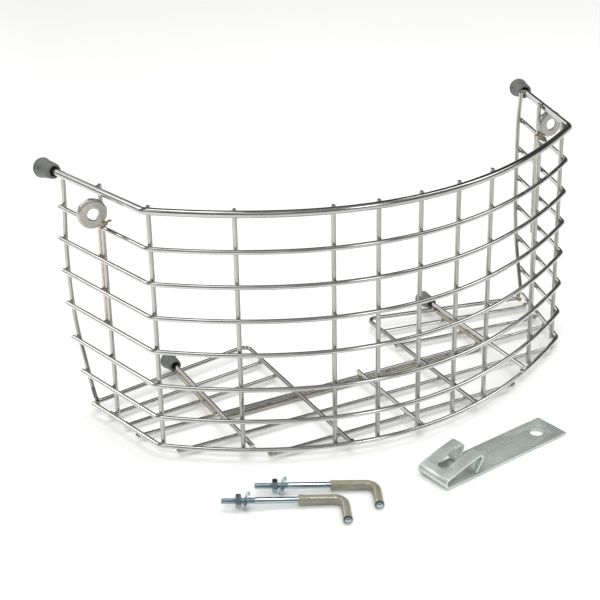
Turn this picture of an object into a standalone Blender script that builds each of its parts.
"""Chromed wire basket for the front of a two-wheeler, with its two L-shaped hook bolts
and its folded clamp bracket lying loose in front of it.

Metres, +Z up. The basket faces -Y: its curved front wall is at low Y, its two side walls
run back to open rear ends, and the floor has a cut-out at the back. Left is -X and right
is +X. Lengths below are in millimetres in the basket's own frame, whose zero is the front
centre of the wall at the height of the bottom hoop. Angles are in degrees.
"""

import math

import bmesh
import bpy
from mathutils import Matrix, Vector

MM = 0.001
BASKET_IN_ROW = (-0.62, -57.28, 7.34)  # the basket's zero; puts the lowest point on z = 0
GROUND_Z = -BASKET_IN_ROW[2]

LEFT, RIGHT = -1, 1  # the sign of X on each side
SIDES = {LEFT: "left", RIGHT: "right"}

# Wires
WIRE_R = 1.65  # hoops, stays and floor wires
RIM_R = 2.5
GAP = 0.3
LEVEL = 2 * WIRE_R + GAP + 0.03  # spacing of two crossed wires, and of the layers of the floor
RIM_OUT = RIM_R - WIRE_R  # the rim shares its inner side with the hoops below it

# The hoops' centreline in plan: a front bow, two corners, and two straight side walls.
# Its two halves differ by a few millimetres.
BOW = (-0.57, 2.39, 24.70, -1.18, -0.43)  # y as a polynomial in x / 100, constant term first
CORNER_X = {LEFT: -167.6, RIGHT: 169.9}
CORNER_R = 10.0
SIDE_ANGLE = {LEFT: 76.3, RIGHT: 74.5}  # between a side wall and the X axis
BOW_STEPS = (  # x of the points along the bow
    -153, -136, -119.8, -100, -80, -60.7, -45, -29.9, -14, 2.1,
    18, 34.4, 50, 67.3, 86, 106, 127.2, 141, 156,
)

# The right-hand end of the wall leans inward towards the rim. The lean grows from nothing
# at LEAN_FROM to its full size LEAN_SPAN further right.
LEAN_FROM, LEAN_SPAN = 60.0, 110.0
LEAN_FOOT, LEAN_PER_MM = 0.8, -0.0154  # shift in x at z = 0, and its change with z

# Rim
RIM_Z = 174.9
RIM_FALL = 0.5 / 187  # per mm of x: the rim falls a little towards the right
RIM_END_DROP = {LEFT: 1.0, RIGHT: 1.2}  # and along the side walls
RIM_DROP_ANGLE = 4.5  # the rim's ends point a little down
RIM_BEND_BACK = 2.0  # from the mouth of the buffer to the bend where an end turns down

# Hoops, top to bottom
HOOP_Z = (148.4, 123.3, 98.5, 73.3, 47.1, 22.4)
HOOP_END = {  # where a hoop ends along its side wall, with the bottom hoop last
    LEFT: (103.4, 107.1, 106.8, 105.7, 102.0, 93.8, 84.6),
    RIGHT: (102.0, 102.4, 102.2, 101.0, 97.5, 88.0, 83.0),
}
BOTTOM_HOOP_END_OUT = 0.6

# Stays
FRONT_STAY_X = (-119.8, -60.7, -29.9, 2.1, 34.4, 67.3, 127.2)
SIDE_STAY_ALONG = {LEFT: 55.8, RIGHT: 51.0}
STAY_HEIGHTS = (-1.0, 177.2)
CORNER_STAY_IN = 0.65  # beyond the usual LEVEL
EAR_REINFORCEMENT_HEIGHTS = (68, 153)

# Rear frame: the end wire, the back edge of the floor and the edge of the cut-out in one wire
END_HEIGHTS = (176.5, 150, 125, 100, 76, 55, 38, 22, 10)
END_ALONG = {  # the end wire's place along the side wall at each of those heights
    LEFT: (101.0, 102.0, 105.0, 105.4, 104.3, 101.2, 95.8, 90.7, 87.0),
    RIGHT: (90.2, 95.0, 95.3, 95.2, 94.3, 91.2, 86.6, 80.5, 75.4),
}
FOOT_BEND = {LEFT: (-184.3, 146.4), RIGHT: (185.0, 139.5)}  # x, y
FOOT_BEND_R = 4.0
CUTOUT_SHIFT = 3.4  # the cut-out sits this much to the right
CUTOUT_HALF = 53.0
CUTOUT_BEND_R = 6.0
BACK_EDGE_Y = {LEFT: 173.0, RIGHT: 167.8}  # at the cut-out
FRAME_FRONT_Y = 2 * WIRE_R + GAP + 0.2  # from the bow to the frame's front end

# Floor cross wires
CROSS_Z = -LEVEL
CROSS_MAIN_Y = 91.6
CROSS_WIRES = (  # name, y, how far each end goes past the bottom hoop
    ("front_cross_wire", 23.6, 2.5),
    ("second_cross_wire", 58.5, 0.8),
    ("main_cross_wire", CROSS_MAIN_Y, 1.2),
)
HALF_CROSS_WIRES = {  # row: y at the cut-out, and the fall in y per mm outwards
    "rear": ({LEFT: 148.4, RIGHT: 148.7}, 0.148),
    "middle": ({LEFT: 123.5, RIGHT: 121.2}, 0.110),
}
HALF_CROSS_PAST_CUTOUT = 1.5
HALF_CROSS_PAST_HOOP = 0.6
HALF_CROSS_FIRST_X = 186.0  # first guess for the outer end
MAIN_REINFORCEMENT_Y = CROSS_MAIN_Y - 3.2
MAIN_REINFORCEMENT_Z = CROSS_Z - 2.06
MAIN_REINFORCEMENT_SHORT = {LEFT: 3.0, RIGHT: 1.0}  # its ends stop this far short of FOOT_X

# Floor fore-aft wires
CENTRE_WIRE_X = 5.8
CENTRE_WIRE_ENDS_Y = (3.2, CROSS_MAIN_Y + 2.5)
FOOT_X = 114.2
FOOT_FRONT_PAST = 1.5
FOOT_BEND_Y = {LEFT: 162.2, RIGHT: 158.5}
FOOT_DROP_ANGLE = 6.0
FOOT_REINFORCEMENT_IN = 1.0
FOOT_REINFORCEMENT_FRONT_Y = CROSS_MAIN_Y - 6.0
FOOT_REINFORCEMENT_BACK_GAP = 2 * WIRE_R + 0.8  # to the centreline of the back edge

# Rubber buffers: length, radius of the flat end, radius of the mouth, radius of the bore
RIM_BUFFER = (18.0, 7.3, 5.1, 3.1)
FOOT_BUFFER = (16.6, 6.5, 4.4, 2.6)
RIM_BUFFER_ALONG = {LEFT: 103.8, RIGHT: 93.5}
FOOT_BUFFER_Y = {LEFT: 163.2, RIGHT: 161.0}
WIRE_IN_BUFFER = 10.0
BORE_DEPTH = WIRE_IN_BUFFER + 1.2

# Ears
EAR_X = {LEFT: -187.4, RIGHT: 186.0}
EAR_Z = {LEFT: 161.7, RIGHT: 160.8}
EAR_FACE_Y = 109.4
EAR_R, EAR_HOLE_R = 10.4, 4.0
EAR_SHEET = 1.3
EAR_LIP_DEPTH = 4.2
EAR_LIP_THICK = 1.5
EAR_TAB_SIZE = (4.4, EAR_SHEET - 0.2, 6.5)
EAR_TAB_IN, EAR_TAB_DOWN = 7.2, 6.9  # from the ear's axis
EAR_NOTCH_SIZE = (1.8, 4.0, 3.0)
EAR_NOTCH_IN = 1.6
EAR_NOTCH_TURN = 25

# Hook bolts
BOLT_R = 2.2
BOLT_SHAFT = 80.5
BOLT_LEG = 25.0
BOLT_BEND_R = 7.0
BOLT_TILT = 2.5
SLEEVE_R, SLEEVE_WALL = 3.3, 0.75
SLEEVE_START = 50.5  # from the threaded end
SLEEVE_LEG = BOLT_LEG - 1.2
NUT_ACROSS, NUT_THICK = 8.0, 3.7
WASHER_R, WASHER_BORE_R, WASHER_THICK = 6.3, 2.95, 1.0
WASHER_CHAMFER = 0.25
WASHER_TILT = 19.5
LYING_BOLTS = {  # name: bend corner x, y, heading of the shaft, nut and washer from the threaded end
    "a": (-58.95, -43.24, -23.99, 13.4, 18.6),
    "b": (-85.55, -48.19, -23.36, 11.2, 16.2),
}

# Clamp bracket. In its own frame X runs along the strip from the fold.
STRIP_WIDTH, STRIP_THICK = 27.4, 1.6
STRIP_LENGTH = 111.7
PLATE_POINTS = (1, 0.6, 0.3)  # shares of the strip's length, from the far end towards the fold
FOLD_R = 3.4
FLAP_RISE = 15.7
CURL_CENTRE = (24.3, 9.72)  # x, z
CURL_R = 4.65
CURL_END = -135.0
SLOT_HALF = 4.9
SLOT_START = 8.0
SLOT_LENGTH = CURL_CENTRE[0] + CURL_R + 6 - SLOT_START
SLOT_END_R = SLOT_HALF + 0.2
SLOT_CUT_Z, SLOT_CUT_HEIGHT = 12, 17  # middle and height of the cut, clear of the plate
BRACKET_HOLE_R, BRACKET_HOLE_AT = 4.9, 95.7
BRACKET_HOLE_CUT = 8
BRACKET_POSE = (-18.29, -54.51, 10.11)  # x, y, heading

CHROME = dict(colour=(0.80, 0.81, 0.80), roughness=0.12, metallic=1.0)
WELDED = dict(colour=(0.62, 0.56, 0.44), roughness=0.28, metallic=1.0)
RUBBER = dict(colour=(0.045, 0.048, 0.046), roughness=0.62, metallic=0.0)
ZINC = dict(colour=(0.62, 0.68, 0.74), roughness=0.30, metallic=1.0)
BRACKET_ZINC = dict(colour=(0.58, 0.64, 0.62), roughness=0.36, metallic=1.0)
PLASTIC = dict(colour=(0.36, 0.36, 0.27), roughness=0.22, metallic=0.0)

for old in list(bpy.data.objects):
    bpy.data.objects.remove(old, do_unlink=True)

parts = bpy.data.collections.new("wire_basket")
cutters = bpy.data.collections.new("cutters")
for collection in (parts, cutters):
    bpy.context.scene.collection.children.link(collection)
cutters.hide_render = True

origin = bpy.data.objects.new("basket_origin", None)
origin.location = Vector(BASKET_IN_ROW) * MM
parts.objects.link(origin)


# ---------------------------------------------------------------- helpers


def material(name, colour, roughness, metallic):
    made = bpy.data.materials.new(name)
    made.use_nodes = True
    shader = made.node_tree.nodes["Principled BSDF"]
    shader.inputs["Base Color"].default_value = (*colour, 1.0)
    shader.inputs["Roughness"].default_value = roughness
    shader.inputs["Metallic"].default_value = metallic
    made.diffuse_color = (*colour, 1.0)
    return made


def adopt(obj, look, parent, collection=parts):
    """Link and parent an object, with a material of its own unless look is None."""
    collection.objects.link(obj)
    obj.parent = parent
    if look is not None:
        obj.data.materials.append(material(obj.name, **look))
    return obj


def wire(name, points, radius=WIRE_R, look=CHROME, parent=origin):
    """A round bar through the given points, with flat ends."""
    curve = bpy.data.curves.new(name, "CURVE")
    curve.dimensions = "3D"
    curve.bevel_depth = radius * MM
    curve.bevel_resolution = 2
    curve.use_fill_caps = True
    spline = curve.splines.new("POLY")
    spline.points.add(len(points) - 1)
    for slot, point in zip(spline.points, points):
        slot.co = (point[0] * MM, point[1] * MM, point[2] * MM, 1.0)
    return adopt(bpy.data.objects.new(name, curve), look, parent)


def tube(name, path, outer, wall, look, parent):
    """A hose of even wall along a path, open at both ends."""
    obj = wire(name, path, outer, look, parent)
    obj.data.use_fill_caps = False
    shell = obj.modifiers.new("wall", "SOLIDIFY")
    shell.thickness = wall * MM
    shell.offset = -1
    shell.use_even_offset = True


def turned(name, profile, look, steps, closed=False, parent=origin):
    """A shape turned about its local Z. profile runs (radius, height) down the outer side."""
    mesh = bpy.data.meshes.new(name)
    edges = [(i, i + 1) for i in range(len(profile) - 1)]
    if closed:
        edges.append((len(profile) - 1, 0))
    mesh.from_pydata([(radius * MM, 0.0, z * MM) for radius, z in profile], edges, [])
    obj = adopt(bpy.data.objects.new(name, mesh), look, parent)
    screw = obj.modifiers.new("turn", "SCREW")
    screw.axis = "Z"
    screw.steps = screw.render_steps = steps
    screw.use_merge_vertices = True
    screw.merge_threshold = 0.00001
    screw.use_smooth_shade = True
    return obj


def mesh_object(name, build, look, parent=origin, collection=parts):
    """An object from a bmesh that build(shape) fills in, in millimetres."""
    shape = bmesh.new()
    build(shape)
    bmesh.ops.scale(shape, vec=(MM, MM, MM), verts=shape.verts)
    bmesh.ops.recalc_face_normals(shape, faces=shape.faces)
    mesh = bpy.data.meshes.new(name)
    shape.to_mesh(mesh)
    shape.free()
    return adopt(bpy.data.objects.new(name, mesh), look, parent, collection)


def box(size, centre=(0, 0, 0)):
    """A builder of a box, for mesh_object."""

    def build(shape):
        placing = Matrix.Translation(centre) @ Matrix.Diagonal((*size, 1))
        bmesh.ops.create_cube(shape, size=1.0, matrix=placing)

    return build


def prism(radius, depth, segments, placing):
    """A builder of a regular prism about the Z axis of placing, for mesh_object."""

    def build(shape):
        bmesh.ops.create_cone(
            shape,
            cap_ends=True,
            segments=segments,
            radius1=radius,
            radius2=radius,
            depth=depth,
            matrix=placing,
        )

    return build


def cutter(name, build, parent=origin):
    """A hidden helper object for boolean."""
    obj = mesh_object(name, build, None, parent, cutters)
    obj.hide_render = True
    obj.display_type = "WIRE"
    return obj


def boolean(obj, other, operation="DIFFERENCE"):
    cut = obj.modifiers.new(other.name, "BOOLEAN")
    cut.operation = operation
    cut.object = other
    cut.solver = "EXACT"


def smooth(obj):
    obj.data.shade_smooth()
    obj.data.set_sharp_from_angle(angle=math.radians(35))


def rotation(degrees, axis):
    return Matrix.Rotation(math.radians(degrees), 4, axis)


def rounded(points, corner_radii, steps):
    """The polyline with the given corners (index: radius) replaced by arcs."""
    out = []
    for i, point in enumerate(points):
        here = Vector(point)
        if i not in corner_radii:
            out.append(here)
            continue
        radius = corner_radii[i]
        back = (Vector(points[i - 1]) - here).normalized()
        ahead = (Vector(points[i + 1]) - here).normalized()
        half = back.angle(ahead) / 2
        reach = radius / math.tan(half)
        centre = here + (back + ahead).normalized() * radius / math.sin(half)
        first_arm = here + back * reach - centre
        last_arm = here + ahead * reach - centre
        turn = first_arm.angle(last_arm)
        for k in range(steps + 1):
            share = k / steps
            first_part = first_arm * (math.sin((1 - share) * turn) / math.sin(turn))
            last_part = last_arm * (math.sin(share * turn) / math.sin(turn))
            out.append(centre + first_part + last_part)
    return out


# ---------------------------------------------------------------- the wall surface


def bow_y(x):
    return sum(factor * (x / 100) ** n for n, factor in enumerate(BOW))


def bow_normal(x):
    """Out of the front bow."""
    slope = sum(n * factor * (x / 100) ** (n - 1) / 100 for n, factor in enumerate(BOW) if n)
    return Vector((slope, -1, 0)).normalized()


def side_direction(side):
    """Backwards along a side wall."""
    angle = math.radians(SIDE_ANGLE[side])
    return Vector((side * math.cos(angle), math.sin(angle), 0))


def side_normal(side):
    """Out of a side wall."""
    direction = side_direction(side)
    return Vector((direction.y, -direction.x, 0)) * side


def corner(side):
    return Vector((CORNER_X[side], bow_y(CORNER_X[side]), 0))


def leaning(point):
    """The same point with the lean of the wall's right-hand end."""
    share = min(max((point.x - LEAN_FROM) / LEAN_SPAN, 0.0), 1.0) ** 2
    return point + Vector((share * (LEAN_FOOT + LEAN_PER_MM * point.z), 0, 0))


def on_side(side, along, out, z):
    """A point of a side wall, moved out of it by out."""
    flat = corner(side) + side_direction(side) * along + side_normal(side) * out
    return leaning(flat + Vector((0, 0, z)))


def on_bow(x, out, z):
    """A point of the front bow, moved out of it by out."""
    return leaning(Vector((x, bow_y(x), z)) + bow_normal(x) * out)


def corner_point(side, out, z):
    """Where the offset bow and the offset side wall meet."""
    normal = bow_normal(CORNER_X[side])
    middle = (normal + side_normal(side)).normalized()
    return leaning(corner(side) + middle * (out / middle.dot(normal)) + Vector((0, 0, z)))


def hoop_path(out, z, left_end, right_end):
    points = [left_end, corner_point(LEFT, out, z)]
    points += [on_bow(x, out, z) for x in BOW_STEPS]
    points += [corner_point(RIGHT, out, z), right_end]
    return rounded(points, {1: CORNER_R, len(points) - 2: CORNER_R}, steps=3)


# ---------------------------------------------------------------- rim and hoops


def rim_level(point):
    """The same point of the rim, at the rim's height there."""
    side = LEFT if point.x < 0 else RIGHT
    share = max(point.y - corner(side).y, 0.0) / RIM_BUFFER_ALONG[side]
    return Vector((point.x, point.y, RIM_Z - RIM_FALL * point.x - RIM_END_DROP[side] * share))


def rim_direction(side):
    """The direction in which an end of the rim points."""
    drop = math.radians(RIM_DROP_ANGLE)
    return side_direction(side) * math.cos(drop) - Vector((0, 0, math.sin(drop)))


def rim_mouth(side):
    """Where an end of the rim goes into its rubber buffer."""
    return rim_level(on_side(side, RIM_BUFFER_ALONG[side], RIM_OUT, RIM_Z))


def rim_tip(side):
    """The end of the rim wire, inside the buffer."""
    return rim_mouth(side) + rim_direction(side) * WIRE_IN_BUFFER


def rim():
    bends = [
        on_side(side, RIM_BUFFER_ALONG[side] - RIM_BEND_BACK, RIM_OUT, RIM_Z) for side in SIDES
    ]
    level_part = [rim_level(point) for point in hoop_path(RIM_OUT, RIM_Z, *bends)]
    wire("rim_wire", [rim_tip(LEFT), *level_part, rim_tip(RIGHT)], RIM_R)


def hoops():
    for i, z in enumerate(HOOP_Z):
        ends = [on_side(side, HOOP_END[side][i], 0, z) for side in SIDES]
        wire(f"hoop_wire_{i + 1}", hoop_path(0, z, *ends))
    ends = [on_side(side, HOOP_END[side][-1], BOTTOM_HOOP_END_OUT, 0) for side in SIDES]
    wire("bottom_hoop_wire", hoop_path(0, 0, *ends))


# ---------------------------------------------------------------- stays


def front_stays():
    for i, x in enumerate(FRONT_STAY_X, 1):
        wire(f"front_stay_{i}", [on_bow(x, -LEVEL, z) for z in STAY_HEIGHTS])


def corner_stay(side, word):
    """A stay in the bend, whose round inner side keeps it off the sharp corner."""
    points = [corner_point(side, -LEVEL - CORNER_STAY_IN, z) for z in STAY_HEIGHTS]
    wire(f"corner_stay_{word}", points)


def side_stay(side, word):
    """A stay of the side wall, and a short second wire just behind it."""
    along = SIDE_STAY_ALONG[side]
    wire(f"side_stay_{word}", [on_side(side, along, -LEVEL, z) for z in STAY_HEIGHTS])
    wire(
        f"ear_reinforcement_{word}",
        [on_side(side, along + LEVEL, -LEVEL, z) for z in EAR_REINFORCEMENT_HEIGHTS],
        look=WELDED,
    )


# ---------------------------------------------------------------- rear frame wires


def cutout_x(side):
    """The edge of the floor's cut-out."""
    return CUTOUT_SHIFT + side * CUTOUT_HALF


def rear_frame(side, word):
    """Down the end of the side wall, in along the back edge, then forward to the bow."""
    edge_x = cutout_x(side)
    points = [on_side(side, along, -LEVEL, z) for z, along in zip(END_HEIGHTS, END_ALONG[side])]
    foot = len(points)
    points += [
        Vector((*FOOT_BEND[side], 0)),
        Vector((edge_x, BACK_EDGE_Y[side], 0)),
        on_bow(edge_x, 0, 0) + Vector((0, FRAME_FRONT_Y, 0)),
    ]
    bends = {foot: FOOT_BEND_R, foot + 1: CUTOUT_BEND_R}
    wire(f"rear_frame_{word}", rounded(points, bends, steps=4))


# ---------------------------------------------------------------- floor cross wires


def hoop_x(side, y, past):
    """Where the bottom hoop is at a depth, on one side, and a little past it."""
    if y > corner(side).y:
        direction = side_direction(side)
        return CORNER_X[side] + (y - corner(side).y) * direction.x / direction.y + side * past
    inner, outer = 0.0, CORNER_X[side]
    for _ in range(40):  # halve the interval round the bow's crossing
        middle = (inner + outer) / 2
        if bow_y(middle) < y:
            inner = middle
        else:
            outer = middle
    return inner + side * past


def cross_wires():
    for name, y, past in CROSS_WIRES:
        wire(name, [(hoop_x(side, y, past), y, CROSS_Z) for side in SIDES])


def main_cross_reinforcement():
    """A second bar below and in front of the main cross wire, reaching almost to FOOT_X."""
    points = [
        (side * (FOOT_X - short), MAIN_REINFORCEMENT_Y, MAIN_REINFORCEMENT_Z)
        for side, short in MAIN_REINFORCEMENT_SHORT.items()
    ]
    wire("main_cross_reinforcement", points, look=WELDED)


def half_cross_wires(side, word):
    """The slanting cross wires between the cut-out and the bottom hoop."""
    inner_x = cutout_x(side) - side * HALF_CROSS_PAST_CUTOUT
    for row, (inner_y, slope) in HALF_CROSS_WIRES.items():
        outer_x = side * HALF_CROSS_FIRST_X
        for _ in range(8):  # close in on where the slanting wire meets the hoop
            outer_y = inner_y[side] - abs(outer_x - inner_x) * slope
            outer_x = hoop_x(side, outer_y, HALF_CROSS_PAST_HOOP)
        wire(
            f"{row}_cross_{word}",
            [(outer_x, outer_y, CROSS_Z), (inner_x, inner_y[side], CROSS_Z)],
        )


# ---------------------------------------------------------------- floor fore-aft wires


def back_edge_y(side, x):
    """The back edge of the floor at x."""
    foot_x, foot_y = FOOT_BEND[side]
    share = (x - foot_x) / (cutout_x(side) - foot_x)
    return foot_y + (BACK_EDGE_Y[side] - foot_y) * share


def foot_direction():
    """Backwards and a little down, along the end of a foot wire."""
    drop = math.radians(FOOT_DROP_ANGLE)
    return Vector((0, math.cos(drop), -math.sin(drop)))


def foot_bend(side):
    """Where a foot wire turns down a little, just behind the back edge of the floor."""
    return Vector((side * FOOT_X, FOOT_BEND_Y[side], LEVEL))


def foot_mouth(side):
    """Where a foot wire goes into its rubber buffer."""
    return foot_bend(side) + foot_direction() * (FOOT_BUFFER_Y[side] - FOOT_BEND_Y[side])


def centre_floor_wire():
    wire("centre_floor_wire", [(CENTRE_WIRE_X, y, 0) for y in CENTRE_WIRE_ENDS_Y])


def foot_wire(side, word):
    x = side * FOOT_X
    front = Vector((x, bow_y(x) - FOOT_FRONT_PAST, LEVEL))
    tip = foot_mouth(side) + foot_direction() * WIRE_IN_BUFFER
    wire(f"foot_wire_{word}", [front, foot_bend(side), tip])


def foot_reinforcement(side, word):
    """A short bar below the foot wire, from the main cross wire to the back edge."""
    foot_x = side * FOOT_X
    x = foot_x - side * FOOT_REINFORCEMENT_IN
    back_y = back_edge_y(side, foot_x) - FOOT_REINFORCEMENT_BACK_GAP
    points = [(x, FOOT_REINFORCEMENT_FRONT_Y, 0), (x, back_y, 0)]
    wire(f"foot_reinforcement_{word}", points, look=WELDED)


# ---------------------------------------------------------------- rubber buffers


def buffer(name, sizes, mouth, direction):
    """A tapered push-on buffer: its mouth at the given point, its flat end facing direction."""
    length, flat_r, mouth_r, bore_r = sizes
    profile = [  # radius, distance from the mouth
        (0, length),
        (flat_r - 1.2, length),
        (flat_r - 0.3, length - 0.5),
        (flat_r, length - 1.4),
        (flat_r - 0.1, length - 2.6),
        (mouth_r + 0.4, 1.2),
        (mouth_r, 0),
        (bore_r, 0),
        (bore_r, BORE_DEPTH),
        (0, BORE_DEPTH),
    ]
    obj = turned(name, profile, RUBBER, steps=20)
    obj.rotation_mode = "QUATERNION"
    obj.rotation_quaternion = direction.to_track_quat("Z", "Y")
    obj.location = mouth * MM


# ---------------------------------------------------------------- ears


def ear(side, word):
    """A round eyelet plate facing forward, with a lip turned back round its rim, a tab at
    its lower inner side and a notch in the edge of its hole."""
    lip_inner_r = EAR_R - EAR_LIP_THICK
    profile = [  # radius, distance behind the face
        (EAR_R - 0.7, EAR_LIP_DEPTH),
        (EAR_R, EAR_LIP_DEPTH - 0.7),
        (EAR_R, 0.5),
        (EAR_R - 0.5, 0),
        (EAR_HOLE_R, 0),
        (EAR_HOLE_R, EAR_SHEET),
        (lip_inner_r, EAR_SHEET),
        (lip_inner_r, EAR_LIP_DEPTH),
    ]
    face = Vector((EAR_X[side], EAR_FACE_Y, EAR_Z[side]))
    obj = turned(f"ear_{word}", profile, CHROME, steps=28, closed=True)
    obj.matrix_local = Matrix.Translation(face * MM) @ rotation(-90, "X")

    mid_sheet = face + Vector((0, EAR_SHEET / 2, 0))
    tab = cutter(f"ear_tab_{word}", box(EAR_TAB_SIZE))
    tab.location = (mid_sheet + Vector((-side * EAR_TAB_IN, 0, -EAR_TAB_DOWN))) * MM
    boolean(obj, tab, "UNION")

    notch = cutter(f"ear_notch_{word}", box(EAR_NOTCH_SIZE))
    notch.location = (mid_sheet + Vector((-side * EAR_NOTCH_IN, 0, -EAR_HOLE_R))) * MM
    notch.rotation_euler = (0, side * math.radians(EAR_NOTCH_TURN), 0)
    boolean(obj, notch)


# ---------------------------------------------------------------- hook bolts


def bolt_path(start, leg):
    """From start, measured from the threaded end, round the bend to the end of the leg.
    The corner is the local zero; the shaft runs to -X and the leg to -Y."""
    points = [(start - BOLT_SHAFT, 0, 0), (0, 0, 0), (0, -leg, 0)]
    return rounded(points, {1: BOLT_BEND_R}, steps=6)


def on_shaft(distance):
    """A place on the shaft in metres, at a distance from the threaded end."""
    return Vector(((distance - BOLT_SHAFT) * MM, 0, 0))


def nut(tag, distance, axis):
    along_shaft = rotation(90, "Y")
    blank = prism(NUT_ACROSS / math.sqrt(3), NUT_THICK, 6, along_shaft)
    obj = mesh_object(f"nut_{tag}", blank, ZINC, axis)
    hole = prism(BOLT_R + GAP, NUT_THICK + 4, 20, along_shaft)
    bore = cutter(f"nut_bore_{tag}", hole, axis)
    obj.location = bore.location = on_shaft(distance)
    boolean(obj, bore)
    smooth(obj)


def washer(tag, distance, axis):
    """A loose washer, tilted on the shaft."""
    half = WASHER_THICK / 2
    profile = [
        (WASHER_R - WASHER_CHAMFER, half),
        (WASHER_R, half - WASHER_CHAMFER),
        (WASHER_R, -half),
        (WASHER_BORE_R, -half),
        (WASHER_BORE_R, half),
    ]
    obj = turned(f"washer_{tag}", profile, ZINC, steps=24, closed=True, parent=axis)
    obj.matrix_local = Matrix.Translation(on_shaft(distance)) @ rotation(90 + WASHER_TILT, "Y")


def hook_bolt(tag, corner_x, corner_y, heading, nut_at, washer_at):
    """A bolt with its sleeve, nut and washer, its threaded end tilted up a little."""
    axis = adopt(bpy.data.objects.new(f"hook_bolt_{tag}_axis", None), None, origin)
    bend = Vector((corner_x, corner_y, GROUND_Z + SLEEVE_R))
    axis.rotation_mode = "ZYX"
    axis.matrix_local = (
        Matrix.Translation(bend * MM) @ rotation(heading, "Z") @ rotation(BOLT_TILT, "Y")
    )
    wire(f"hook_bolt_{tag}", bolt_path(0, BOLT_LEG), BOLT_R, ZINC, axis)
    sleeve_path = bolt_path(SLEEVE_START, SLEEVE_LEG)
    tube(f"hook_sleeve_{tag}", sleeve_path, SLEEVE_R, SLEEVE_WALL, PLASTIC, axis)
    nut(tag, nut_at, axis)
    washer(tag, washer_at, axis)


# ---------------------------------------------------------------- clamp bracket


def arc(centre, radius, start, end, steps):
    """Points of an arc between two angles, both ends included."""
    angles = [math.radians(start + (end - start) * i / steps) for i in range(steps + 1)]
    return [
        (centre[0] + radius * math.cos(angle), centre[1] + radius * math.sin(angle))
        for angle in angles
    ]


def strip_profile():
    """The strip's centreline seen from the side: flat plate, fold, rising flap, curled end."""
    half = STRIP_THICK / 2
    plate = [(STRIP_LENGTH * share, half) for share in PLATE_POINTS]
    flap_normal = 90 + FLAP_RISE  # the fold ends and the curl starts at this angle
    fold = arc((0.0, half + FOLD_R), FOLD_R, -90, flap_normal - 360, steps=8)
    curl = arc(CURL_CENTRE, CURL_R, flap_normal, CURL_END, steps=12)
    return plate + fold + curl


def strip(shape):
    edges = (-STRIP_WIDTH / 2, STRIP_WIDTH / 2)
    rows = [[shape.verts.new((x, y, z)) for y in edges] for x, z in strip_profile()]
    for row, following in zip(rows, rows[1:]):
        shape.faces.new((row[0], row[1], following[1], following[0]))


def clamp_bracket():
    """A folded strip with a hole in its plate. A slot with a round inner end parts its
    curled flap into two hooks."""
    x, y, heading = BRACKET_POSE
    lying = Matrix.Translation(Vector((x, y, GROUND_Z)) * MM) @ rotation(heading, "Z")
    bracket = mesh_object("clamp_bracket", strip, BRACKET_ZINC)
    bracket.matrix_local = lying
    sheet = bracket.modifiers.new("sheet", "SOLIDIFY")
    sheet.thickness = STRIP_THICK * MM
    sheet.offset = 0
    sheet.use_even_offset = True

    slot = box(
        (SLOT_LENGTH, 2 * SLOT_HALF, SLOT_CUT_HEIGHT),
        (SLOT_START + SLOT_LENGTH / 2, 0, SLOT_CUT_Z),
    )
    slot_end_place = Matrix.Translation((SLOT_START, 0, SLOT_CUT_Z))
    slot_end = prism(SLOT_END_R, SLOT_CUT_HEIGHT, 24, slot_end_place)
    hole_place = Matrix.Translation((BRACKET_HOLE_AT, 0, 0))
    hole = prism(BRACKET_HOLE_R, BRACKET_HOLE_CUT, 28, hole_place)
    for name, build in (
        ("bracket_slot", slot),
        ("bracket_slot_end", slot_end),
        ("bracket_hole", hole),
    ):
        cut = cutter(name, build)
        cut.matrix_local = lying
        boolean(bracket, cut)
    smooth(bracket)


# ---------------------------------------------------------------- build

rim()
hoops()
front_stays()
cross_wires()
main_cross_reinforcement()
centre_floor_wire()
for side, word in SIDES.items():
    corner_stay(side, word)
    side_stay(side, word)
    rear_frame(side, word)
    half_cross_wires(side, word)
    foot_wire(side, word)
    foot_reinforcement(side, word)
    buffer(f"rim_buffer_{word}", RIM_BUFFER, rim_mouth(side), rim_direction(side))
    buffer(f"foot_buffer_{word}", FOOT_BUFFER, foot_mouth(side), foot_direction())
    ear(side, word)
for tag, placing in LYING_BOLTS.items():
    hook_bolt(tag, *placing)
clamp_bracket()
